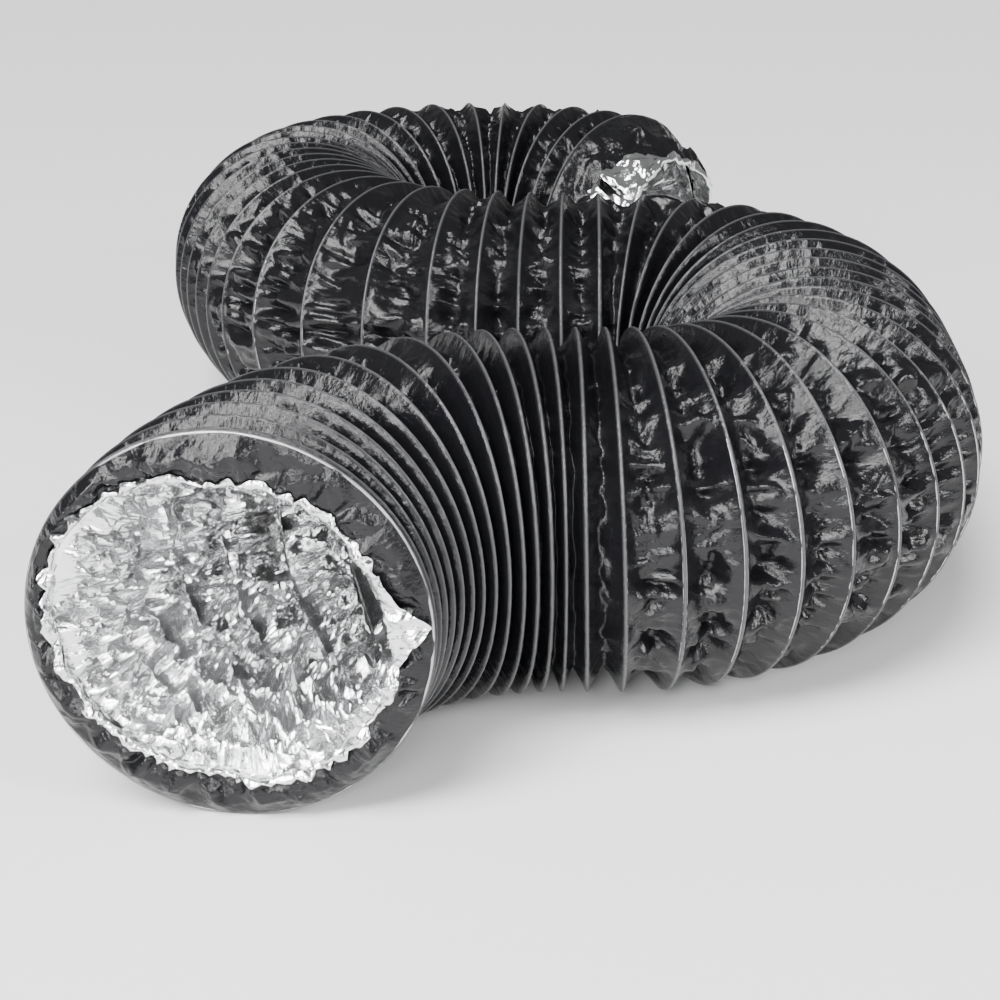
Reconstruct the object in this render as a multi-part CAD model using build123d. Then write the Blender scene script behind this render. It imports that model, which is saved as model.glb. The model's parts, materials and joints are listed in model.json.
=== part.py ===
"""Flexible air duct: a black film jacket and a foil liner with one spring-steel wire helix between them.

The duct lies on a flat surface in an S of three passes.  Its centreline is a chain of arcs, one arc for
each section of a few wire turns.  A section is a rigid body with its own stretch of jacket, wire and
liner, and the sections are jointed where the turns open, so the whole chain unrolls as a real duct does.
+Z is up, and the origin is on the surface under the middle of the duct.
"""
from build123d import *
import math
import os

# Tube, in millimetres: an eight-inch duct, named by its bore
BORE_RADIUS = 101.6
LINER_WALL = 0.5
WIRE_DIAMETER = 1.6
JACKET_WALL = 0.8
FILM_CLEARANCE = 0.3      # between the wire and the film on each side of it
JOINT_GAP = 0.5           # between the flat ends of neighbouring sections

# Ends, in millimetres: plain film and foil past the last wire turn
FRONT_CUFF_LENGTH = 42.0
REAR_CUFF_LENGTH = 70.0
FOLD_WALL = 0.8           # the front foil is turned outwards over the film's edge

# Sections from the front end to the rear end: length along the centreline in millimetres,
# turn in degrees (positive to the left) and whole turns of wire
SECTIONS = (
    (58.0, -21.0, 3),
    (105.0, -40.0, 4),
    (80.0, -23.0, 5),
    (95.0, 42.0, 5),
    (110.0, 48.0, 5),
    (100.0, 2.0, 4),
    (105.0, 47.0, 4),
    (100.0, 44.0, 3),
    (100.0, -11.0, 4),
    (125.0, -49.0, 4),
    (120.0, -14.0, 5),
    (125.0, -52.0, 5),
    (125.0, -43.0, 4),
    (115.0, -48.0, 4),
    (42.0, -5.0, 2),
)
START_HEADING = 78.0      # of the centreline at the front mouth, in degrees from +X
STRAIGHT_BELOW = 0.1      # a section that turns less than this is straight, in degrees

# Fineness of the wire's path
WIRE_ARCS_PER_TURN = 8
WIRE_START_ANGLE = -90.0  # the wire enters and leaves each section at the bottom of the tube

# Sizes that follow
LINER_OUTER = BORE_RADIUS + LINER_WALL
WIRE_PATH_RADIUS = LINER_OUTER + FILM_CLEARANCE + WIRE_DIAMETER / 2
JACKET_INNER = WIRE_PATH_RADIUS + WIRE_DIAMETER / 2 + FILM_CLEARANCE
JACKET_OUTER = JACKET_INNER + JACKET_WALL
UP = Vector(0, 0, 1)


def direction(heading):
    """Horizontal unit vector of a heading in degrees."""
    angle = math.radians(heading)
    return Vector(math.cos(angle), math.sin(angle), 0)


def left_of(heading):
    """Horizontal unit vector to the left of a heading."""
    return direction(heading + 90)


class Arc:
    """One section's stretch of the centreline, from a start point and a heading."""

    def __init__(self, start, heading, length, turn):
        self.start = start
        self.heading = heading
        self.length = length
        self.turn = 0.0 if abs(turn) < STRAIGHT_BELOW else turn

    def centre(self):
        """Centre of the arc's circle."""
        radius = self.length / math.radians(self.turn)
        return self.start + left_of(self.heading) * radius

    def place(self, distance):
        """Point and heading at a distance along the arc."""
        if not self.turn:
            return self.start + direction(self.heading) * distance, self.heading
        radius = self.length / math.radians(self.turn)
        heading = self.heading + self.turn * distance / self.length
        return self.centre() - left_of(heading) * radius, heading

    def tube(self, inner, outer):
        """Tube wall between two radii along the whole arc, with its faces' seams on top."""
        plane = Plane(origin=self.start, x_dir=UP, z_dir=direction(self.heading))
        ring = plane * (Circle(outer) - Circle(inner))
        if not self.turn:
            return extrude(ring, amount=self.length, dir=direction(self.heading))
        spin = UP if self.turn > 0 else -UP
        return revolve(ring, Axis(self.centre(), spin), revolution_arc=abs(self.turn))


def centreline():
    """The sections' arcs, and the joint places (point and heading) between and beyond them."""
    arcs, joints = [], []
    point, heading = Vector(0, 0, JACKET_OUTER), START_HEADING
    for length, turn, _ in SECTIONS:
        joints.append((point, heading))
        start = point + direction(heading) * (JOINT_GAP / 2)
        arc = Arc(start, heading, length - JOINT_GAP, turn)
        end, heading = arc.place(arc.length)
        point = end + direction(heading) * (JOINT_GAP / 2)
        arcs.append(arc)
    joints.append((point, heading))
    return arcs, joints


def wire(arc, turns):
    """Wire helix of whole turns inside one section, as a chain of tangent arcs."""
    margin = WIRE_DIAMETER
    steps = turns * WIRE_ARCS_PER_TURN

    def point(step):
        base, heading = arc.place(margin + (arc.length - 2 * margin) * step / steps)
        angle = math.radians(WIRE_START_ANGLE + 360 * step / WIRE_ARCS_PER_TURN)
        across = left_of(heading) * math.cos(angle) + UP * math.sin(angle)
        return base + across * WIRE_PATH_RADIUS

    small = 0.01
    tangent = (point(small) - point(-small)).normalized()
    first = tangent
    edges = []
    for step in range(steps):
        edges.append(Edge.make_tangent_arc(point(step), tangent, point(step + 1)))
        tangent = edges[-1] % 1
    section = Plane(origin=point(0), z_dir=first) * Circle(WIRE_DIAMETER / 2)
    return sweep(section, path=Wire(edges))


def cuff(point, heading, length, inner, outer):
    """Straight sleeve from a place on the centreline along a heading."""
    plane = Plane(origin=point, z_dir=direction(heading))
    return extrude(plane * (Circle(outer) - Circle(inner)), amount=length, dir=direction(heading))


def front_end(arc):
    """Film lip and turned-out foil cuff before the first section."""
    point, heading = arc.place(0)
    outwards = heading + 180
    film_length = FRONT_CUFF_LENGTH - FOLD_WALL
    lip = cuff(point, outwards, film_length, JACKET_INNER, JACKET_OUTER)
    sleeve = cuff(point, outwards, FRONT_CUFF_LENGTH, BORE_RADIUS, LINER_OUTER)
    edge = point + direction(outwards) * film_length
    fold = cuff(edge, outwards, FOLD_WALL, BORE_RADIUS, JACKET_OUTER)
    return {"front_film_lip": lip, "front_foil_cuff": sleeve + fold}


def rear_end(arc):
    """Film cuff and foil cuff after the last section."""
    point, heading = arc.place(arc.length)
    film = cuff(point, heading, REAR_CUFF_LENGTH, JACKET_INNER, JACKET_OUTER)
    foil = cuff(point, heading, REAR_CUFF_LENGTH, BORE_RADIUS, LINER_OUTER)
    return {"rear_film_cuff": film, "rear_foil_cuff": foil}


def build():
    """All the pieces by name, and the shift that puts the origin under the middle of the duct."""
    arcs, _ = centreline()
    pieces = {}
    for number, (arc, (_, _, turns)) in enumerate(zip(arcs, SECTIONS), start=1):
        pieces[f"jacket_{number:02d}"] = arc.tube(JACKET_INNER, JACKET_OUTER)
        pieces[f"wire_{number:02d}"] = wire(arc, turns)
        pieces[f"liner_{number:02d}"] = arc.tube(BORE_RADIUS, LINER_OUTER)
    pieces.update(front_end(arcs[0]))
    pieces.update(rear_end(arcs[-1]))
    tubes = Compound([p for name, p in pieces.items() if not name.startswith("wire")])
    box = tubes.bounding_box()
    middle = box.center()
    return pieces, Vector(-middle.X, -middle.Y, -box.min.Z)


def main():
    """Writes one STEP file per piece."""
    os.makedirs("parts", exist_ok=True)
    pieces, shift = build()
    for name, piece in pieces.items():
        export_step(piece.moved(Location(shift)), os.path.join("parts", name + ".step"))
    _, joints = centreline()
    for number, (point, heading) in enumerate(joints):
        print(f"joint {number}: {point + shift} heading {heading:.1f}")


if __name__ == "__main__":
    main()
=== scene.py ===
"""Looks of a flexible air duct: creased black film over a spring wire helix, and a crumpled foil liner.

The duct lies in an S of three passes.  Every skin is a grid whose rows follow the wire's turns, so the film
sags and creases between neighbouring turns, and each stretch of skin bends across one joint of the frame.
Lengths are in metres and angles in radians unless a name says otherwise.
"""
import json
import logging
import math
from dataclasses import dataclass, field
from enum import Enum

import bmesh
import bpy
import numpy as np
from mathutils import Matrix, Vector


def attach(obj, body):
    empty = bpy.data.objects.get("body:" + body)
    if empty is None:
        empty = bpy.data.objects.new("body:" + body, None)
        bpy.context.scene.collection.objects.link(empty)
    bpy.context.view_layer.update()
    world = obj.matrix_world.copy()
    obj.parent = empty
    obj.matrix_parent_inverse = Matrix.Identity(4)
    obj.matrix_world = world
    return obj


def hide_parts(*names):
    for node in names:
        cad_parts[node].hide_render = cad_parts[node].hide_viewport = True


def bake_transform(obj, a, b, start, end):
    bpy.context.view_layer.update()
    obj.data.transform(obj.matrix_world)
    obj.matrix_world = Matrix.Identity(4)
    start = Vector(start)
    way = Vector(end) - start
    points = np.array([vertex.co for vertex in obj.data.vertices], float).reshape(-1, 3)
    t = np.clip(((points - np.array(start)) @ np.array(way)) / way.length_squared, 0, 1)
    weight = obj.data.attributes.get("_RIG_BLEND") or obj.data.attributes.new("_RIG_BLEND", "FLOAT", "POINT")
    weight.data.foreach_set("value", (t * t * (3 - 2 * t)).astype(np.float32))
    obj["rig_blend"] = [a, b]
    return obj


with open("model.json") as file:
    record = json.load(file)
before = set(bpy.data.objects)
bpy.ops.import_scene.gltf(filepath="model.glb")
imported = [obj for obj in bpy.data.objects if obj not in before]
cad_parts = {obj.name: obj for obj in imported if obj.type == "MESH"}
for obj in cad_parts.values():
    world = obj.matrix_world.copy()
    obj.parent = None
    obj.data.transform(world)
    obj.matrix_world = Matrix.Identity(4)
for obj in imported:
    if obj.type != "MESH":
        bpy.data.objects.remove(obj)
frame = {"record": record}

LOG = logging.getLogger("duct")
MM = 0.001
FULL = 2 * math.pi


# ---------------------------------------------------------------------------- the line that the duct follows


@dataclass(frozen=True)
class Section:
    """One rigid stretch of the duct between two joints.

    Args:
        length_mm: length along the centreline.
        turn_deg: how far the centreline turns, positive to the left.
        turns: whole turns of wire.
    """

    length_mm: float
    turn_deg: float
    turns: int


SECTIONS: tuple[Section, ...] = (
    Section(100, -27, 5),
    Section(105, -40, 4),
    Section(80, -23, 5),
    Section(95, 42, 5),
    Section(110, 48, 5),
    Section(100, 2, 4),
    Section(105, 47, 4),
    Section(100, 44, 3),
    Section(100, -11, 4),
    Section(125, -49, 4),
    Section(120, -14, 5),
    Section(125, -52, 5),
    Section(125, -43, 4),
    Section(115, -48, 4),
    Section(42, -5, 2),
)


@dataclass
class Centreline:
    """The duct's middle line, with its arcs eased into each other.

    Args:
        start: point of the line at the front wire turn.
        heading: its heading there, from +X.
        ease: length over which neighbouring arcs run into each other.
        step: spacing of the sampled points.
        lead: straight line sampled beyond each end.
    """

    start: Vector
    heading: float
    ease: float = 0.045
    step: float = 0.001
    lead: float = 0.12
    length: float = field(init=False)

    def __post_init__(self) -> None:
        """Samples the line once, with a straight lead at each end."""
        ends = np.cumsum([0.0] + [s.length_mm * MM for s in SECTIONS])
        headings = self.heading + np.cumsum([0.0] + [math.radians(s.turn_deg) for s in SECTIONS])
        self.length = float(ends[-1])
        self._s = np.arange(-self.lead, self.length + self.lead, self.step)
        raw = np.interp(self._s, ends, headings)
        width = int(self.ease / self.step) | 1
        padded = np.pad(raw, width // 2, mode="edge")
        self._heading = np.convolve(padded, np.ones(width) / width, mode="valid")
        self._bend = np.gradient(self._heading, self.step)
        x = np.cumsum(np.cos(self._heading)) * self.step
        y = np.cumsum(np.sin(self._heading)) * self.step
        at_start = np.interp(0.0, self._s, x), np.interp(0.0, self._s, y)
        self._x = x - at_start[0] + self.start.x
        self._y = y - at_start[1] + self.start.y

    def bend(self, s: np.ndarray) -> np.ndarray:
        """Curvature at distances along the line, positive to the left."""
        return np.interp(s, self._s, self._bend)

    def place(self, s: np.ndarray, radius: np.ndarray, angle: np.ndarray) -> np.ndarray:
        """Points round the line.

        Args:
            s: distance along the line.
            radius: distance from the line.
            angle: angle round the line, from its left side over the top.

        Returns:
            An array of points, one row each.
        """
        heading = np.interp(s, self._s, self._heading)
        across = radius * np.cos(angle)
        x = np.interp(s, self._s, self._x) - np.sin(heading) * across
        y = np.interp(s, self._s, self._y) + np.cos(heading) * across
        z = self.start.z + radius * np.sin(angle)
        return np.stack([x, y, z], axis=-1)


@dataclass
class Winding:
    """Where the wire's turns lie along the centreline.

    Args:
        ease_turns: number of turns over which one section's spacing runs into the next one's.
        last_pitch: spacing of the last two turns, which lie side by side at the rear end.
    """

    ease_turns: float = 1.6
    last_pitch: float = 0.006
    total: int = field(init=False)

    def __post_init__(self) -> None:
        """Samples the distance of each turn once."""
        counts = np.cumsum([0] + [s.turns for s in SECTIONS])
        ends = np.cumsum([0.0] + [s.length_mm * MM for s in SECTIONS])
        self.total = int(counts[-1])
        self.joint_turns = [int(c) for c in counts]
        per_turn = 40
        counts[-1] -= 1
        ends[-1] -= self.last_pitch
        n = np.arange(0, counts[-1] * per_turn + 1) / per_turn
        pitch = np.diff(np.interp(n, counts, ends))
        width = int(self.ease_turns * per_turn) | 1
        smooth = np.convolve(np.pad(pitch, width // 2, mode="edge"), np.ones(width) / width, mode="valid")
        s = np.concatenate([[0.0], np.cumsum(smooth)])
        s *= ends[-1] / s[-1]
        self._n = np.append(n, self.total)
        self._s = np.append(s, ends[-1] + self.last_pitch)

    def distance(self, n: np.ndarray) -> np.ndarray:
        """Distance along the centreline of turn number n, which is closed flat at both ends."""
        return np.interp(n, self._n, self._s)

    def cuts(self) -> list[int]:
        """Turn numbers at the middle of each section, where one stretch of skin ends and the next starts."""
        pairs = zip(self.joint_turns, self.joint_turns[1:])
        return [(a + b) // 2 for a, b in pairs]


# ---------------------------------------------------------------------------- creases


class FacetField:
    """Random heights joined by flat triangles, which is how a creased film or foil lies.

    It repeats round the duct, so that a skin closes on itself.
    """

    ROWS = 997

    def __init__(self, seed: int, around: int) -> None:
        """Draws the heights.

        Args:
            seed: seed of the random draw.
            around: number of cells once round the duct.
        """
        draw = np.random.default_rng(seed)
        self.around = around
        self._height = draw.uniform(-1.0, 1.0, (self.ROWS, around))
        self._flip = draw.random((self.ROWS, around)) < 0.5

    def sample(self, along: np.ndarray, around: np.ndarray) -> np.ndarray:
        """Heights from -1 to 1 at cell coordinates along and round the duct."""
        i, j = np.floor(along).astype(int), np.floor(around).astype(int)
        u, v = along - i, around - j
        i0, j0 = i % self.ROWS, j % self.around
        i1, j1 = (i + 1) % self.ROWS, (j + 1) % self.around
        flip = self._flip[i0, j0]
        v = np.where(flip, 1 - v, v)
        ja, jb = np.where(flip, j1, j0), np.where(flip, j0, j1)
        h00, h10 = self._height[i0, ja], self._height[i1, ja]
        h01, h11 = self._height[i0, jb], self._height[i1, jb]
        low = h00 + u * (h10 - h00) + v * (h01 - h00)
        high = h11 + (1 - u) * (h01 - h11) + (1 - v) * (h10 - h11)
        return np.where(u + v <= 1, low, high)


@dataclass
class Creases:
    """Crumpled relief: puckers from turn to turn, flat facets across them, and small facets in those.

    Everything is shifted about by the same kind of field, so that no grid shows.

    Args:
        seed: seed of the random draws.
        puckers: number of puckers once round the duct.
        facets: number of facets once round the duct.
        per_turn: number of facets from one wire turn to the next.
        shares: how much of the height the puckers, the facets and the small facets have.
    """

    seed: int
    puckers: int
    facets: int
    per_turn: float
    shares: tuple[float, float, float] = (0.4, 0.4, 0.2)

    def __post_init__(self) -> None:
        """Draws the fields."""
        self._shift_a = FacetField(self.seed + 1, self.facets)
        self._shift_b = FacetField(self.seed + 2, self.facets)
        self._pucker = FacetField(self.seed + 3, self.puckers)
        self._facet = FacetField(self.seed + 4, self.facets)
        self._small = FacetField(self.seed + 5, self.facets * 2)

    def relief(self, n: np.ndarray, angle: np.ndarray, shares: tuple | None = None) -> np.ndarray:
        """Relief from about -1 to 1.

        Args:
            n: turn number.
            angle: angle round the duct.
            shares: overrides the shares, as numbers or arrays.

        Returns:
            Heights for each point.
        """
        pucker_share, facet_share, small_share = self.shares if shares is None else shares
        a, b = n * self.per_turn, angle / FULL * self.facets
        shift_a, shift_b = 0.6 * self._shift_a.sample(a, b), 0.6 * self._shift_b.sample(a, b)
        turn = angle / FULL * self.puckers + 0.5 * shift_b
        pucker = self._pucker.sample(n * 0.8 + 0.2 * shift_a, turn)
        facet = self._facet.sample(a + shift_a, b + shift_b)
        small = self._small.sample((a + shift_a) * 2, (b + shift_b) * 2)
        return pucker_share * pucker + facet_share * facet + small_share * small


# ---------------------------------------------------------------------------- finishes


def new_material(name: str) -> tuple[bpy.types.Material, bpy.types.Node]:
    """Makes a node material.

    Args:
        name: the material's name.

    Returns:
        The material and its Principled shader node.
    """
    material = bpy.data.materials.new(name)
    material.use_nodes = True
    return material, material.node_tree.nodes["Principled BSDF"]


def add_node(material: bpy.types.Material, kind: str, **values: object) -> bpy.types.Node:
    """Adds a shader node and sets its inputs by name.

    Args:
        material: the material to add to.
        kind: the node's type.
        values: input values, with underscores for spaces.

    Returns:
        The new node.
    """
    node = material.node_tree.nodes.new(kind)
    for name, value in values.items():
        node.inputs[name.replace("_", " ")].default_value = value
    return node


@dataclass(frozen=True)
class CreasePattern:
    """Fine creases drawn by a material, finer than the mesh.

    Args:
        scale: cells per metre.
        depth: height of the relief in metres.
        strength: how strongly it tilts the light.
    """

    scale: float
    depth: float
    strength: float

    def bump(self, material: bpy.types.Material, normal: bpy.types.NodeSocket) -> None:
        """Adds the creases to a shader.

        Args:
            material: the material to add to.
            normal: the shader's normal input.
        """
        links = material.node_tree.links
        place = add_node(material, "ShaderNodeUVMap")
        warp = add_node(material, "ShaderNodeTexNoise", Scale=self.scale * 0.7, Detail=3.0)
        mix = material.node_tree.nodes.new("ShaderNodeMix")
        mix.data_type = "VECTOR"
        mix.inputs["Factor"].default_value = 0.012
        cells = add_node(material, "ShaderNodeTexVoronoi", Scale=self.scale)
        cells.feature = "F1"
        folds = add_node(material, "ShaderNodeTexNoise", Scale=self.scale * 2.5, Detail=4.0, Roughness=0.6)
        total = add_node(material, "ShaderNodeMath")
        total.operation = "ADD"
        bump = add_node(material, "ShaderNodeBump", Strength=self.strength, Distance=self.depth)
        links.new(place.outputs["UV"], warp.inputs["Vector"])
        links.new(place.outputs["UV"], mix.inputs[4])
        links.new(warp.outputs["Color"], mix.inputs[5])
        links.new(mix.outputs[1], cells.inputs["Vector"])
        links.new(place.outputs["UV"], folds.inputs["Vector"])
        links.new(cells.outputs["Distance"], total.inputs[0])
        links.new(folds.outputs["Fac"], total.inputs[1])
        links.new(total.outputs["Value"], bump.inputs["Height"])
        links.new(bump.outputs["Normal"], normal)


@dataclass(frozen=True)
class FilmFinish:
    """Thin glossy black film, with a paler colour painted along the wire's ridges as their highlight."""

    name: str = "black_film"
    colour: tuple[float, float, float, float] = (0.005, 0.005, 0.006, 1.0)
    # Paler colour painted over the wire's ridges: a painted highlight.
    painted_ridge_highlight: tuple[float, float, float, float] = (0.07, 0.07, 0.074, 1.0)
    roughness: tuple[float, float] = (0.12, 0.26)
    creases: CreasePattern = CreasePattern(scale=110.0, depth=0.0013, strength=0.6)

    def material(self) -> bpy.types.Material:
        """Makes the film's material."""
        material, shader = new_material(self.name)
        links = material.node_tree.links
        place = add_node(material, "ShaderNodeUVMap")
        blotches = add_node(material, "ShaderNodeTexNoise", Scale=28.0, Detail=5.0, Roughness=0.6)
        gloss = add_node(material, "ShaderNodeMapRange")
        gloss.inputs["To Min"].default_value, gloss.inputs["To Max"].default_value = self.roughness
        ridge = add_node(material, "ShaderNodeAttribute")
        ridge.attribute_name = PAINTED_HIGHLIGHT_MASK
        tint = material.node_tree.nodes.new("ShaderNodeMix")
        tint.data_type = "RGBA"
        tint.inputs[6].default_value, tint.inputs[7].default_value = self.colour, self.painted_ridge_highlight
        links.new(place.outputs["UV"], blotches.inputs["Vector"])
        links.new(blotches.outputs["Fac"], gloss.inputs["Value"])
        links.new(gloss.outputs["Result"], shader.inputs["Roughness"])
        # The ridge mask blends in the paler colour: painted highlight along the wire lines.
        links.new(ridge.outputs["Fac"], tint.inputs["Factor"])
        links.new(tint.outputs[2], shader.inputs["Base Color"])
        shader.inputs["IOR"].default_value = 1.45
        shader.inputs["Specular IOR Level"].default_value = 0.4
        self.creases.bump(material, shader.inputs["Normal"])
        return material


@dataclass(frozen=True)
class FoilFinish:
    """Bright aluminium foil laminate, crumpled."""

    name: str = "crumpled_foil"
    dull: tuple[float, float, float, float] = (0.78, 0.79, 0.80, 1.0)
    bright: tuple[float, float, float, float] = (0.96, 0.965, 0.97, 1.0)
    roughness: tuple[float, float] = (0.08, 0.22)
    creases: CreasePattern = CreasePattern(scale=170.0, depth=0.0009, strength=0.3)

    def material(self) -> bpy.types.Material:
        """Makes the foil's material."""
        material, shader = new_material(self.name)
        links = material.node_tree.links
        place = add_node(material, "ShaderNodeUVMap")
        blotches = add_node(material, "ShaderNodeTexNoise", Scale=60.0, Detail=4.0, Roughness=0.6)
        gloss = add_node(material, "ShaderNodeMapRange")
        gloss.inputs["To Min"].default_value, gloss.inputs["To Max"].default_value = self.roughness
        tint = material.node_tree.nodes.new("ShaderNodeMix")
        tint.data_type = "RGBA"
        tint.inputs[6].default_value, tint.inputs[7].default_value = self.dull, self.bright
        links.new(place.outputs["UV"], blotches.inputs["Vector"])
        links.new(blotches.outputs["Fac"], gloss.inputs["Value"])
        links.new(gloss.outputs["Result"], shader.inputs["Roughness"])
        links.new(blotches.outputs["Fac"], tint.inputs["Factor"])
        links.new(tint.outputs[2], shader.inputs["Base Color"])
        shader.inputs["Metallic"].default_value = 1.0
        self.creases.bump(material, shader.inputs["Normal"])
        return material


@dataclass(frozen=True)
class WireFinish:
    """Drawn spring steel."""

    name: str = "spring_steel"
    colour: tuple[float, float, float, float] = (0.42, 0.42, 0.43, 1.0)

    def material(self) -> bpy.types.Material:
        """Makes the wire's material."""
        material, shader = new_material(self.name)
        links = material.node_tree.links
        place = add_node(material, "ShaderNodeTexCoord")
        streaks = add_node(material, "ShaderNodeTexNoise", Scale=900.0, Detail=2.0)
        gloss = add_node(material, "ShaderNodeMapRange")
        gloss.inputs["To Min"].default_value, gloss.inputs["To Max"].default_value = 0.25, 0.45
        links.new(place.outputs["Object"], streaks.inputs["Vector"])
        links.new(streaks.outputs["Fac"], gloss.inputs["Value"])
        links.new(gloss.outputs["Result"], shader.inputs["Roughness"])
        shader.inputs["Base Color"].default_value = self.colour
        shader.inputs["Metallic"].default_value = 1.0
        return material


# ---------------------------------------------------------------------------- skins

# Name of the mask for the film's painted highlight, 1 over the wire.
PAINTED_HIGHLIGHT_MASK = "ridge"


class Shading(Enum):
    """How a skin's facets meet."""

    CRISP = "crisp"
    SOFT = "soft"


@dataclass
class Skin:
    """A sheet with a grid of points, rows along the duct and columns round it, closed where its edges meet.

    Args:
        name: the piece's name.
        points: array of rows, columns and xyz.
        uv: array of rows, columns and the two surface coordinates.
        ridge: array of rows and columns, 1 where the film is stretched over the wire; the film's material
            paints a highlight there.
        weight: how far each point follows the second body, or None where one body carries it all.
    """

    name: str
    points: np.ndarray
    uv: np.ndarray
    ridge: np.ndarray
    weight: np.ndarray | None = None

    def build(self, material: bpy.types.Material, shading: Shading) -> bpy.types.Object:
        """Makes the mesh object and dresses it.

        Args:
            material: its finish.
            shading: how its facets meet.

        Returns:
            The new piece.
        """
        rows, columns = self.points.shape[:2]
        mesh = bpy.data.meshes.new(self.name)
        bm = bmesh.new(use_operators=True)
        uv_layer = bm.loops.layers.uv.new("UVMap")
        bmesh.ops.create_grid(bm, x_segments=columns - 1, y_segments=rows - 1, size=0.5)
        bm.to_mesh(mesh)
        bm.free()
        grid = np.zeros(len(mesh.vertices) * 3, np.float64)
        mesh.vertices.foreach_get("co", grid)
        grid = grid.reshape(-1, 3)
        column = np.rint((grid[:, 0] + 0.5) * (columns - 1)).astype(int)
        row = np.rint((grid[:, 1] + 0.5) * (rows - 1)).astype(int)
        mesh.vertices.foreach_set("co", self.points[row, column].astype(np.float32).ravel())
        corner = np.zeros(len(mesh.loops), np.int32)
        mesh.loops.foreach_get("vertex_index", corner)
        uv = self.uv[row, column][corner]
        mesh.uv_layers["UVMap"].uv.foreach_set("vector", uv.astype(np.float32).ravel())
        self._attribute(mesh, PAINTED_HIGHLIGHT_MASK, self.ridge[row, column])
        if self.weight is not None:
            self._attribute(mesh, WEIGHT, self.weight[row, column])
        bm = bmesh.new()
        bm.from_mesh(mesh)
        bmesh.ops.remove_doubles(bm, verts=bm.verts, dist=2e-6)
        bm.to_mesh(mesh)
        bm.free()
        mesh.polygons.foreach_set("use_smooth", [shading is Shading.SOFT] * len(mesh.polygons))
        mesh.materials.append(material)
        mesh.update()
        piece = bpy.data.objects.new(self.name, mesh)
        bpy.context.scene.collection.objects.link(piece)
        LOG.info("%s: %d vertices", self.name, len(mesh.vertices))
        return piece

    @staticmethod
    def _attribute(mesh: bpy.types.Mesh, name: str, values: np.ndarray) -> None:
        """Stores one number for each vertex."""
        attribute = mesh.attributes.new(name, "FLOAT", "POINT")
        attribute.data.foreach_set("value", values.astype(np.float32).ravel())


WEIGHT = "follow"
BLEND = "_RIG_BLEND"


def hang_between(piece: bpy.types.Object, body_a: str, body_b: str, start: Vector, end: Vector) -> None:
    """Makes a piece bend from one body to the next, turn by turn.

    Args:
        piece: the finished piece, with its own weights.
        body_a: body that its start follows.
        body_b: body that its end follows.
        start: centreline point where it starts to bend.
        end: centreline point where it stops.
    """
    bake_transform(piece, body_a, body_b, start=start, end=end)
    values = np.zeros(len(piece.data.vertices), np.float32)
    piece.data.attributes[WEIGHT].data.foreach_get("value", values)
    piece.data.attributes[BLEND].data.foreach_set("value", values)
    piece.data.attributes.remove(piece.data.attributes[WEIGHT])


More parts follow.
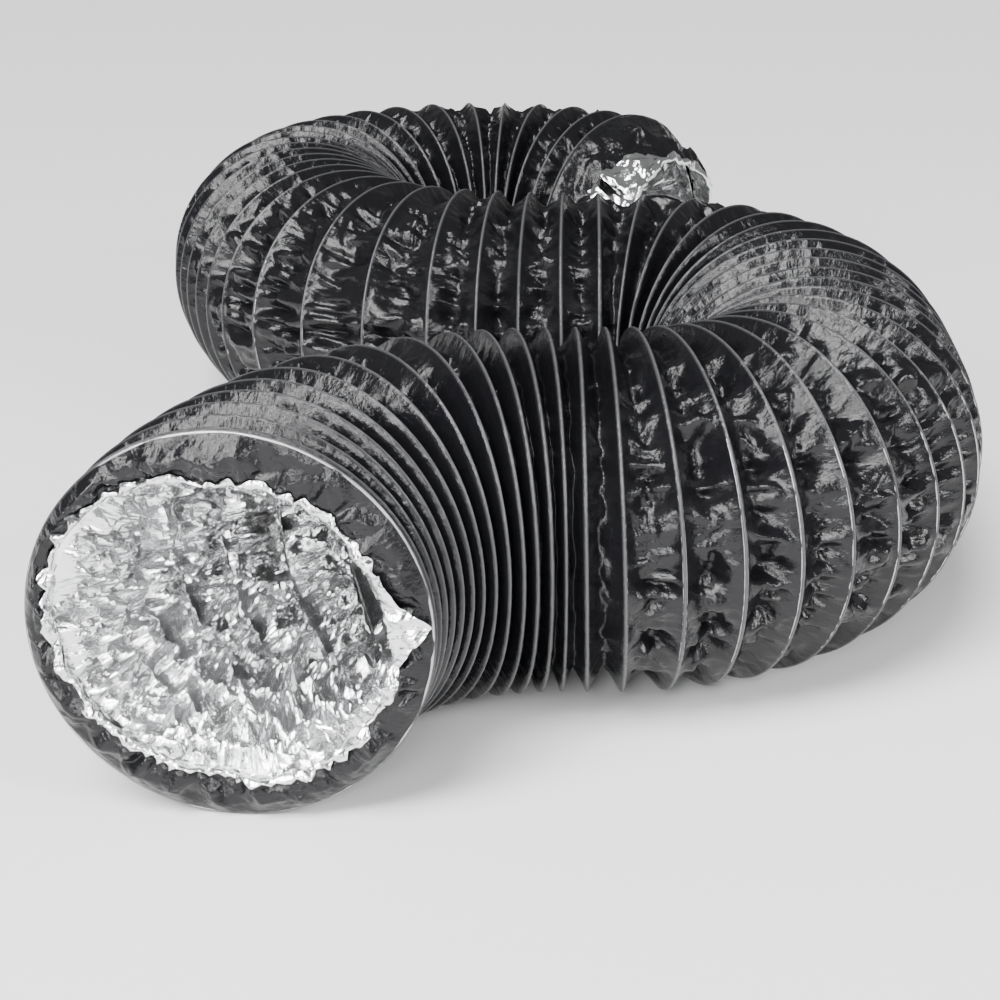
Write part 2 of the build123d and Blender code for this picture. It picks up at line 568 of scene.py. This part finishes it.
@dataclass
class Duct:
    """Sizes that all the skins share, and the shape of the film between two turns of wire.

    Args:
        line: the duct's middle line.
        winding: where the turns lie along it.
        crest: radius of the film where it passes over the wire.
        wire: the wire's diameter.
        sag: depth of the film between turns that lie close, beyond what it has when stretched.
        sag_stretched: depth of the film where the turns are drawn apart.
        sag_spacing: spacing of turns at which most of the sag is gone.
        bead: distance on either side of the wire over which the film lies on it.
    """

    line: Centreline
    winding: Winding
    crest: float = 0.1048
    wire: float = 0.0016
    sag: float = 0.0100
    sag_stretched: float = 0.0070
    sag_spacing: float = 0.034
    bead: float = 0.0014

    def nodes(self, turn_rows: int, spacing: np.ndarray) -> np.ndarray:
        """Places of the rows between two turns, from 0 to 1, close together near the wire.

        Args:
            turn_rows: number of rows for each turn.
            spacing: distance between the turns, one for each column.

        Returns:
            An array of rows and columns.
        """
        step = np.minimum(self.bead / 2 / np.maximum(spacing, 1e-6), 1 / turn_rows)
        row = np.arange(turn_rows)[:, None]
        inner = 2 * step + (1 - 4 * step) * (row - 2) / (turn_rows - 4)
        late = np.where(row > turn_rows - 2, 1 - (turn_rows - row) * step, inner)
        return np.where(row < 2, row * step, late)

    def depth(self, spacing: np.ndarray) -> np.ndarray:
        """How far the film sags between two turns at a given spacing."""
        free = self.sag_stretched + self.sag * np.exp(-((spacing / self.sag_spacing) ** 2))
        return free * spacing / (spacing + 0.0015)

    def surface(self, first: int, last: int, turn_rows: int, columns: int) -> dict[str, np.ndarray]:
        """Grid between two wire turns.

        Args:
            first: turn number at its start.
            last: turn number at its end.
            turn_rows: rows for each turn.
            columns: columns round the duct.

        Returns:
            Arrays of rows and columns: n, angle, s, spacing, u (share of the way between turns), drop.
        """
        angle = np.linspace(0, FULL, columns)[None, :]
        blocks: dict[str, list[np.ndarray]] = {k: [] for k in ("n", "angle", "s", "spacing", "u")}
        for turn in range(first, last):
            s0 = self.winding.distance(turn + angle / FULL)
            s1 = self.winding.distance(turn + 1 + angle / FULL)
            lean = 1 - self.line.bend((s0 + s1) / 2) * self.crest * np.cos(angle)
            spacing = (s1 - s0) * lean
            u = self.nodes(turn_rows, spacing)
            blocks["u"].append(u)
            blocks["s"].append(s0 + (s1 - s0) * u)
            blocks["n"].append(turn + u + angle / FULL)
            blocks["spacing"].append(np.broadcast_to(spacing, u.shape))
            blocks["angle"].append(np.broadcast_to(angle, u.shape))
        end = self.winding.distance(last + angle / FULL)
        blocks["u"].append(np.zeros_like(angle))
        blocks["s"].append(end)
        blocks["n"].append(last + angle / FULL)
        blocks["spacing"].append(blocks["spacing"][-1][-1:])
        blocks["angle"].append(angle)
        return {k: np.concatenate(v) for k, v in blocks.items()}

    def drop(self, grid: dict[str, np.ndarray], wander: np.ndarray) -> np.ndarray:
        """Depth of the film below its crest.

        Args:
            grid: arrays from surface().
            wander: how far the lowest line strays from the middle, from -1 to 1.

        Returns:
            Depth in metres, never negative.
        """
        u, spacing = grid["u"], np.maximum(grid["spacing"], 1e-6)
        reach = np.minimum(self.bead, spacing * 0.25)
        near = np.minimum(u, 1 - u) * spacing
        bead = np.minimum(near, reach) ** 2 / (1.1 * self.wire)
        inner = np.clip((u * spacing - reach) / np.maximum(spacing - 2 * reach, 1e-6), 0, 1)
        middle = 0.5 + 0.16 * wander
        tent = np.clip(np.where(inner < middle, inner / middle, (1 - inner) / (1 - middle)), 0, 1)
        shape = 0.6 * tent**0.85 + 0.4 * np.sin(tent * math.pi / 2)
        return bead + self.depth(spacing) * shape

    def window(self, grid: dict[str, np.ndarray]) -> np.ndarray:
        """How freely the film can crease: 0 on the wire and 1 well between two turns."""
        near = np.minimum(grid["u"], 1 - grid["u"]) * grid["spacing"]
        return np.clip((near - 0.6 * self.bead) / 0.011, 0, 1) ** 1.2


@dataclass
class Stretches:
    """Where a long piece is cut, so that each stretch bends across one joint of the frame.

    Args:
        duct: the shared sizes.
    """

    duct: Duct

    def spans(self) -> list[tuple[int, int, int]]:
        """Each stretch as (number, first turn, last turn); the first and the last lie on one body each."""
        cuts = self.duct.winding.cuts()
        ends = [-1, *cuts, self.duct.winding.total]
        return [(number, first, last) for number, (first, last) in enumerate(zip(ends, ends[1:]))]

    def weights(self, number: int, first: int, last: int, n: np.ndarray) -> np.ndarray | None:
        """How far each point follows the second body, or None on an end stretch."""
        if number in (0, len(SECTIONS)):
            return None
        return np.clip((n - (first + 1)) / max(last - first - 1, 1), 0, 1)

    def hang(self, piece: bpy.types.Object, number: int, first: int, last: int, node: str) -> None:
        """Puts a stretch on its bodies and hides the node of the frame that it stands for."""
        if number in (0, len(SECTIONS)):
            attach(piece, body(max(number, 1)))
        else:
            hang_between(piece, body(number), body(number + 1), self.centre(first), self.centre(last))
        if number < len(SECTIONS):
            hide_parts(f"{node}_{number + 1:02d}")

    def centre(self, turn: int) -> Vector:
        """Centreline point at a turn."""
        s = self.duct.winding.distance(np.array([float(turn)]))
        return Vector(self.duct.line.place(s, np.zeros(1), np.zeros(1))[0])


@dataclass(frozen=True)
class Relief:
    """How strongly a sleeve is creased.

    Args:
        close: height of the relief where the turns lie close.
        drawn: its height where they are drawn apart.
        close_shares: shares of puckers, facets and small facets where they lie close.
        drawn_shares: the same where they are drawn apart.
    """

    close: float
    drawn: float
    close_shares: tuple[float, float, float]
    drawn_shares: tuple[float, float, float]


@dataclass
class Sleeve:
    """One long sleeve of film or foil.

    Args:
        duct: the shared sizes.
        stem: first part of the pieces' names.
        node: first part of the names of the frame's nodes that the sleeve stands for.
        slot: material slot in the record; not used.
        inset: distance of this sleeve inside the film's outer face.
        creases: relief that the film and the foil share.
        relief: how strong it is.
        own: relief of this sleeve alone, which only goes inwards.
        own_relief: its height.
        shading: how its facets meet.
    """

    duct: Duct
    stem: str
    node: str
    slot: str
    inset: float
    creases: Creases
    relief: Relief
    own: Creases | None = None
    own_relief: float = 0.0
    shading: Shading = Shading.SOFT

    def skin(self, name: str, span: tuple[int, int, int], turn_rows: int, columns: int) -> Skin:
        """Builds the points of one stretch."""
        duct = self.duct
        number, first, last = span
        grid = duct.surface(first, last, turn_rows, columns)
        wander = self.creases.relief(grid["n"] * 0.5 + 200, grid["angle"])
        drawn = np.clip((grid["spacing"] - 0.012) / 0.018, 0, 1)
        height = self.relief.close + (self.relief.drawn - self.relief.close) * drawn
        pairs = zip(self.relief.close_shares, self.relief.drawn_shares)
        shares = tuple(close + (far - close) * drawn for close, far in pairs)
        crease = self.creases.relief(grid["n"], grid["angle"], shares) * height
        room = duct.window(grid)
        drop = np.maximum(duct.drop(grid, wander * 1.6) + crease * room, 0) + self.inset
        if self.own is not None:
            own = (self.own.relief(grid["n"], grid["angle"]) + 0.8) * self.own_relief
            drop = drop + np.maximum(own, 0) * np.clip(room + 0.3, 0, 1)
        points = duct.line.place(grid["s"], duct.crest - drop, grid["angle"])
        uv = np.stack([grid["angle"] * duct.crest, grid["n"] * 0.025], axis=-1)
        # Mask for the film's painted highlight: 1 on the wire, fading to 0 a bead's width from it.
        near = np.minimum(grid["u"], 1 - grid["u"]) * grid["spacing"]
        ridge = np.clip(1 - near / duct.bead, 0, 1)
        weight = Stretches(duct).weights(number, first, last, grid["n"])
        return Skin(name, points, uv, ridge, weight)

    def build(self, material: bpy.types.Material, rows: dict[int, int], columns: dict[int, int]) -> None:
        """Builds every stretch.

        Args:
            material: its finish.
            rows: rows of points for each turn, by stretch, with the default under -1.
            columns: columns of points, in the same way.
        """
        stretches = Stretches(self.duct)
        for number, first, last in stretches.spans():
            name = f"{self.stem}_stretch_{number + 1:02d}"
            turn_rows, across = rows.get(number, rows[-1]), columns.get(number, columns[-1])
            skin = self.skin(name, (number, first, last), turn_rows, across)
            piece = skin.build(material, self.shading)
            stretches.hang(piece, number, first, last, self.node)


@dataclass
class SpringWire:
    """The wire helix, closed into a flat ring at each end of the duct.

    Args:
        duct: the shared sizes.
        steps: points for each turn.
        sides: points round the wire.
    """

    duct: Duct
    steps: int = 90
    sides: int = 8

    def build(self, material: bpy.types.Material) -> None:
        """Builds every stretch of the wire."""
        stretches = Stretches(self.duct)
        radius = self.duct.wire / 2
        for number, first, last in stretches.spans():
            end = last + 1 if number == len(SECTIONS) else last
            n = np.linspace(first, end, (end - first) * self.steps + 1)[:, None]
            round_wire = np.linspace(0, FULL, self.sides + 1)[None, :]
            s = self.duct.winding.distance(n) + radius * np.sin(round_wire)
            out = self.duct.crest - radius - 0.3 * MM + radius * np.cos(round_wire)
            points = self.duct.line.place(s, out, np.broadcast_to(n * FULL, s.shape))
            uv = np.stack([np.broadcast_to(round_wire, s.shape) * radius, s], axis=-1)
            n = np.broadcast_to(n, s.shape)
            weight = stretches.weights(number, first - 1, last - 1, n)
            skin = Skin(f"wire_stretch_{number + 1:02d}", points, uv, np.zeros_like(s), weight)
            piece = skin.build(material, Shading.SOFT)
            stretches.hang(piece, number, first, last, "wire")


def body(number: int) -> str:
    """Name of a section's body."""
    return f"section_{number:02d}"


def around(angle: np.ndarray, outline: tuple[tuple[float, float], ...]) -> np.ndarray:
    """Value of an outline round the duct.

    Args:
        angle: angle from the duct's left side over the top.
        outline: points of the outline as (degrees, value).

    Returns:
        The value at each angle.
    """
    degrees, values = zip(*sorted(outline))
    return np.interp(np.degrees(angle), degrees, values, period=360)


@dataclass
class FrontEnd:
    """The front mouth: the film gathered inwards over the first wire turn, and the foil folded over its edge.

    Args:
        duct: the shared sizes.
        opening: the film's inner edge, as (degrees, share of the crest's radius).
        tab: the torn tab of foil that stands out over the film, in the same way.
        hem: width of the foil's turned edge.
        depth: how far the folded foil reaches into the duct.
        columns: columns of points round the end.
        bulge: how far the lip stands out in front of the first wire turn.
        relief: height of the lip's creases.
        clearance: least distance of the lip in front of the wire's plane.
    """

    duct: Duct
    opening: tuple[tuple[float, float], ...] = (
        (5, 0.87), (24, 0.90), (48, 0.855), (69, 0.80), (86, 0.735), (114, 0.76), (159, 0.765), (188, 0.80),
        (203, 0.82), (225, 0.81), (250, 0.81), (278, 0.755), (299, 0.76), (324, 0.79), (340, 0.83),
    )
    tab: tuple[tuple[float, float], ...] = (
        (150, 0.0), (153, 0.80), (168, 0.86), (176, 0.99), (184, 0.88), (193, 0.81), (195, 0.0),
    )
    hem: float = 0.0028
    depth: float = 0.030
    columns: int = 721
    bulge: float = 0.004
    relief: float = 0.0060
    clearance: float = 0.0008

    def __post_init__(self) -> None:
        """Draws the end's creases."""
        self._creases = Creases(seed=83, puckers=46, facets=58, per_turn=2.6)
        self._edge = FacetField(91, 150)
        self._angle = np.linspace(0, FULL, self.columns)[None, :]
        wobble = self._edge.sample(np.zeros_like(self._angle) + 3.0, self._angle / FULL * 150)
        self._inner = (around(self._angle, self.opening) + 0.006 * wobble) * self.duct.crest

    def _film_front(self, radius: np.ndarray) -> np.ndarray:
        """Distance of the gathered film along the duct, at a radius."""
        t = np.clip((self.duct.crest - radius) / (self.duct.crest - self._inner), 0, 1)
        angle = np.broadcast_to(self._angle, t.shape)
        relief = self._creases.relief(t * 0.9 + 40, angle, (0.75, 0.45, 0.2))
        creased = (relief - 0.35) * self.relief * np.clip(t * 2.5, 0, 1)
        front = -self.bulge * np.sin(t * math.pi * 0.8) + creased
        return np.minimum(front, -self.clearance * np.clip(t * 8, 0, 1))

    def lip(self) -> Skin:
        """The film from the first wire turn inwards to its cut edge, turned a little into the duct."""
        t = np.linspace(0, 1.0, 28)[:, None]
        radius = self.duct.crest + (self._inner - self.duct.crest) * t
        s = self._film_front(radius)
        back = np.linspace(0.2, 1, 5)[:, None]
        radius = np.concatenate([radius, self._inner + 0.004 * back])
        s = np.concatenate([s, s[-1:] + 0.012 * back])
        angle = np.broadcast_to(self._angle, s.shape)
        points = self.duct.line.place(s, radius, angle)
        uv = np.stack([angle * self.duct.crest, self.duct.crest - radius], axis=-1)
        # Mask of the painted highlight along the lip's outer edge over the first wire turn.
        ridge = np.clip(1 - (self.duct.crest - radius) / 0.0012, 0, 1)
        return Skin("front_lip_film", points, uv, ridge)

    def foil(self) -> Skin:
        """The foil from its ragged edge on the film, over the fold and back into the duct."""
        ragged = self._edge.sample(np.zeros_like(self._angle) + 9.0, self._angle / FULL * 150)
        outer = self._inner + self.hem * (1 + 0.9 * ragged)
        tab = around(self._angle, self.tab) * self.duct.crest
        on_tab = tab > outer
        outer = np.maximum(outer, tab * (1 + 0.006 * ragged))
        inner = self._inner - 0.0012
        t = np.linspace(0, 1, 12)[:, None]
        radius = outer + (inner - outer) * t
        lift = 0.0012 + 0.004 * (1 - t) * on_tab
        s = self._film_front(radius) - lift - 0.0015 * np.sin(t * math.pi)
        into = np.linspace(0.03, 1, 30)[:, None]
        end = self.duct.crest - 0.0075
        radius = np.concatenate([radius, inner + (end - inner) * into**1.4])
        s = np.concatenate([s, s[-1:] + (self.depth - s[-1:]) * into**1.1])
        angle = np.broadcast_to(self._angle, s.shape)
        relief = self._creases.relief(s / 0.02 + 90, angle, (0.2, 0.55, 0.35))
        free = np.concatenate([0.25 * np.ones_like(t), np.clip(into * 4, 0.25, 1)])
        free = free * np.concatenate([np.ones_like(t), np.clip((1 - into) * 5, 0.35, 1)])
        radius = radius + relief * 0.0034 * free
        s = s - np.abs(relief) * 0.0020 * free
        points = self.duct.line.place(s, radius, angle)
        uv = np.stack([angle * self.duct.crest, s], axis=-1)
        return Skin("front_foil_fold", points, uv, np.zeros_like(s))

    def build(self, film: bpy.types.Material, foil: bpy.types.Material) -> None:
        """Builds the lip and the fold on the first body."""
        piece = self.lip().build(film, Shading.SOFT)
        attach(piece, body(1))
        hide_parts("front_film_lip")
        piece = self.foil().build(foil, Shading.CRISP)
        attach(piece, body(1))
        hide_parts("front_foil_cuff")


@dataclass
class RearEnd:
    """The rear end: a rumpled film cuff that falls in, with the foil turned out over one side of it.

    Args:
        duct: the shared sizes.
        length: length of the cuff beyond the last wire turn.
        slant: share of the length by which the duct's left side is shorter.
        mouth: the cuff's end, as (degrees, share of the crest's radius).
        turned: how far the foil is turned back over the film, as (degrees, share of the length).
        columns: columns of points round the end.
    """

    duct: Duct
    length: float = 0.072
    slant: float = 0.34
    mouth: tuple[tuple[float, float], ...] = (
        (0, 0.66), (40, 0.70), (75, 0.74), (105, 0.76), (140, 0.72),
        (180, 0.68), (220, 0.72), (270, 0.80), (320, 0.74),
    )
    turned: tuple[tuple[float, float], ...] = (
        (0, 0.06), (70, 0.08), (96, 0.10), (112, 0.42), (130, 0.55),
        (160, 0.66), (200, 0.62), (230, 0.30), (260, 0.06),
    )
    columns: int = 541

    def __post_init__(self) -> None:
        """Draws the end's creases."""
        self._creases = Creases(seed=131, puckers=34, facets=30, per_turn=1.6)
        self._fine = Creases(seed=171, puckers=60, facets=56, per_turn=2.6)
        self._edge = FacetField(177, 90)
        self._angle = np.linspace(0, FULL, self.columns)[None, :]

    def _radius(self, t: np.ndarray) -> np.ndarray:
        """Radius of the film at a share of the cuff's length."""
        mouth = around(self._angle, self.mouth)
        angle = np.broadcast_to(self._angle, (t.shape[0], self.columns))
        relief = self._creases.relief(t * 3.2 + 20, angle, (0.45, 0.55, 0.22))
        fall = 1 - (1 - mouth) * t**1.35
        return self.duct.crest * fall + relief * 0.0085 * np.clip(t * 4, 0, 1) - 0.003 * np.clip(t * 5, 0, 1)

    def _end(self, t: np.ndarray) -> np.ndarray:
        """Distance beyond the last turn at a share of the length, with an uneven edge."""
        edge = self._edge.sample(np.zeros_like(self._angle) + 5.0, self._angle / FULL * 26)
        return self.length * t * (0.94 + 0.06 * edge - self.slant * (1 + np.cos(self._angle)) / 2)

    def skin(self, name: str, t: np.ndarray, lift: np.ndarray, crumple: float) -> Skin:
        """One layer of the cuff.

        Args:
            name: the piece's name.
            t: share of the length, by row and perhaps by column.
            lift: distance outside the film, by row and perhaps by column.
            crumple: height of the layer's own fine creases.

        Returns:
            The layer.
        """
        angle = np.broadcast_to(self._angle, (t.shape[0], self.columns))
        fine = self._fine.relief(t * 3 + 70 + 9 * np.sign(lift), angle, (0.2, 0.5, 0.35))
        radius = self._radius(t) + lift + fine * crumple
        s = self.duct.line.length + self._end(t)
        points = self.duct.line.place(s, radius, angle)
        uv = np.stack([angle * self.duct.crest, np.broadcast_to(s, angle.shape) + lift], axis=-1)
        return Skin(name, points, uv, np.zeros_like(radius))

    def build(self, film: bpy.types.Material, foil: bpy.types.Material) -> None:
        """Builds the film cuff and the foil cuff on the last body."""
        t = np.linspace(0, 1, 44)[:, None] * np.ones((1, self.columns))
        piece = self.skin("rear_cuff_film", t, np.zeros_like(t), 0.0006).build(film, Shading.SOFT)
        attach(piece, body(len(SECTIONS)))
        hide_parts("rear_film_cuff")
        ragged = self._edge.sample(np.zeros_like(self._angle) + 50.0, self._angle / FULL * 90)
        back = around(self._angle, self.turned) * (1 + 0.16 * ragged)
        inside = np.linspace(0, 1.03, 34)[:, None] * np.ones((1, self.columns))
        outside = 1.03 - back * np.linspace(0, 1, 20)[1:, None]
        t = np.concatenate([inside, outside])
        lift_in = -0.0022 * np.ones_like(inside)
        lift_in[-2:] = -0.0008
        lift_out = 0.0022 * np.ones_like(outside)
        lift_out[:1] = 0.0008
        lift = np.concatenate([lift_in, lift_out])
        piece = self.skin("rear_cuff_foil", t, lift, 0.0022).build(foil, Shading.SOFT)
        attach(piece, body(len(SECTIONS)))
        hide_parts("rear_foil_cuff")


# ---------------------------------------------------------------------------- studio


@dataclass(frozen=True)
class Studio:
    """Plain pale floor, soft lights and the camera.

    Args:
        front: centre of the duct's front mouth, which the camera's place is measured from.
        camera_offset: the camera's place from there.
        camera_down_deg: how far the camera looks down.
        camera_yaw_deg: how far it is turned to the left.
        lens_mm: its focal length.
        floor_half: half the width of the floor.
        world_strength: strength of the white surroundings.
    """

    front: Vector
    camera_offset: tuple[float, float, float] = (0.1154, -0.9488, 0.4259)
    camera_down_deg: float = 20.68
    camera_yaw_deg: float = -1.247
    lens_mm: float = 74.5
    floor_half: float = 150.0
    world_strength: float = 0.22

    def build(self) -> None:
        """Makes the floor, the lights and the camera."""
        self._floor()
        self._world()
        self._sun((-0.55, -0.75, 1.5), 5.5, 32.0)
        self._light("key_softbox", (-1.5, -1.7, 1.3), (0.0, -0.2, 0.1), 0.7, 50.0)
        self._light("fill_softbox", (1.6, -1.5, 1.1), (0.0, 0.0, 0.1), 0.7, 38.0)
        self._light("front_softbox", (-0.45, -2.6, 0.95), (-0.15, -0.4, 0.1), 0.9, 52.0)
        self._camera()

    def _floor(self) -> None:
        """A pale floor, level with the duct's lowest point."""
        mesh = bpy.data.meshes.new("floor")
        bm = bmesh.new()
        bmesh.ops.create_grid(bm, x_segments=1, y_segments=1, size=self.floor_half)
        bm.to_mesh(mesh)
        bm.free()
        material, shader = new_material("pale_floor")
        shader.inputs["Base Color"].default_value = (0.9, 0.9, 0.9, 1.0)
        shader.inputs["Roughness"].default_value = 0.6
        mesh.materials.append(material)
        floor = bpy.data.objects.new("floor", mesh)
        bpy.context.scene.collection.objects.link(floor)

    def _world(self) -> None:
        """White surroundings."""
        world = bpy.data.worlds.new("studio")
        world.use_nodes = True
        background = world.node_tree.nodes["Background"]
        background.inputs["Color"].default_value = (1.0, 1.0, 1.0, 1.0)
        background.inputs["Strength"].default_value = self.world_strength
        bpy.context.scene.world = world

    def _sun(self, place: tuple, strength: float, spread_deg: float) -> None:
        """One broad soft sun, which lights the whole floor evenly."""
        data = bpy.data.lights.new("soft_sun", "SUN")
        data.energy, data.angle = strength, math.radians(spread_deg)
        sun = bpy.data.objects.new("soft_sun", data)
        sun.location = place
        sun.rotation_euler = Vector(place).to_track_quat("Z", "Y").to_euler()
        bpy.context.scene.collection.objects.link(sun)

    def _light(self, name: str, place: tuple, target: tuple, size: float, power: float) -> None:
        """One square softbox aimed at a point."""
        data = bpy.data.lights.new(name, "AREA")
        data.shape, data.size, data.energy = "SQUARE", size, power
        light = bpy.data.objects.new(name, data)
        light.location = place
        light.rotation_euler = (Vector(target) - Vector(place)).to_track_quat("-Z", "Y").to_euler()
        bpy.context.scene.collection.objects.link(light)

    def _camera(self) -> None:
        """The camera."""
        data = bpy.data.cameras.new("camera")
        data.lens, data.sensor_width = self.lens_mm, 36.0
        camera = bpy.data.objects.new("camera", data)
        camera.location = self.front + Vector(self.camera_offset)
        turn = math.radians(90 - self.camera_down_deg), 0.0, math.radians(self.camera_yaw_deg)
        camera.rotation_euler = turn
        bpy.context.scene.collection.objects.link(camera)
        bpy.context.scene.camera = camera


# ---------------------------------------------------------------------------- everything in order


@dataclass(frozen=True)
class Mouth:
    """The duct's front mouth on the frame.

    Args:
        edge: centre of its outer edge.
        heading: heading into the duct, from +X.
    """

    edge: Vector
    heading: float

    @classmethod
    def on_frame(cls) -> "Mouth":
        """Reads it from the frame's mount."""
        mount = next(m for m in frame["record"]["mounts"] if m["name"] == "front_mouth")
        into = -Vector(mount["axis"])
        edge = Vector(mount["pos_m"]) - into * (mount["dims"]["length_mm"] * MM / 2)
        return cls(edge, math.atan2(into.y, into.x))

    def ring(self, aside: float = 2.5 * MM, lean_deg: float = 6.0) -> tuple[Vector, float]:
        """Centre and heading of the first wire turn, which lies a little askew in the mouth."""
        left = Vector((-math.sin(self.heading), math.cos(self.heading), 0.0))
        return self.edge + left * aside, self.heading + math.radians(lean_deg)


def main() -> None:
    """Builds the duct's looks round the frame."""
    logging.basicConfig(level=logging.INFO, format="%(name)s %(message)s")
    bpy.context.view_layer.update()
    start, heading = Mouth.on_frame().ring()
    Studio(start).build()
    duct = Duct(Centreline(start, heading), Winding())
    film = FilmFinish().material()
    foil = FoilFinish().material()
    shared = Creases(seed=7, puckers=92, facets=52, per_turn=2.4)
    relief = Relief(0.0036, 0.0150, (0.55, 0.3, 0.15), (0.40, 0.40, 0.20))
    Sleeve(duct, "jacket", "jacket", "jacket_film", 0.0, shared, relief).build(film, {-1: 18}, {-1: 481})
    lining = Creases(seed=31, puckers=60, facets=52, per_turn=2.1, shares=(0.1, 0.8, 0.14))
    liner = Sleeve(duct, "liner", "liner", "foil", 0.0022, shared, relief, lining, 0.0080, Shading.CRISP)
    liner.build(foil, {-1: 9, 0: 24, 1: 24, 2: 18}, {-1: 181, 0: 601, 1: 601, 2: 361})
    SpringWire(duct).build(WireFinish().material())
    FrontEnd(duct).build(film, foil)
    RearEnd(duct).build(film, foil)


if __name__ == "__main__":
    main()
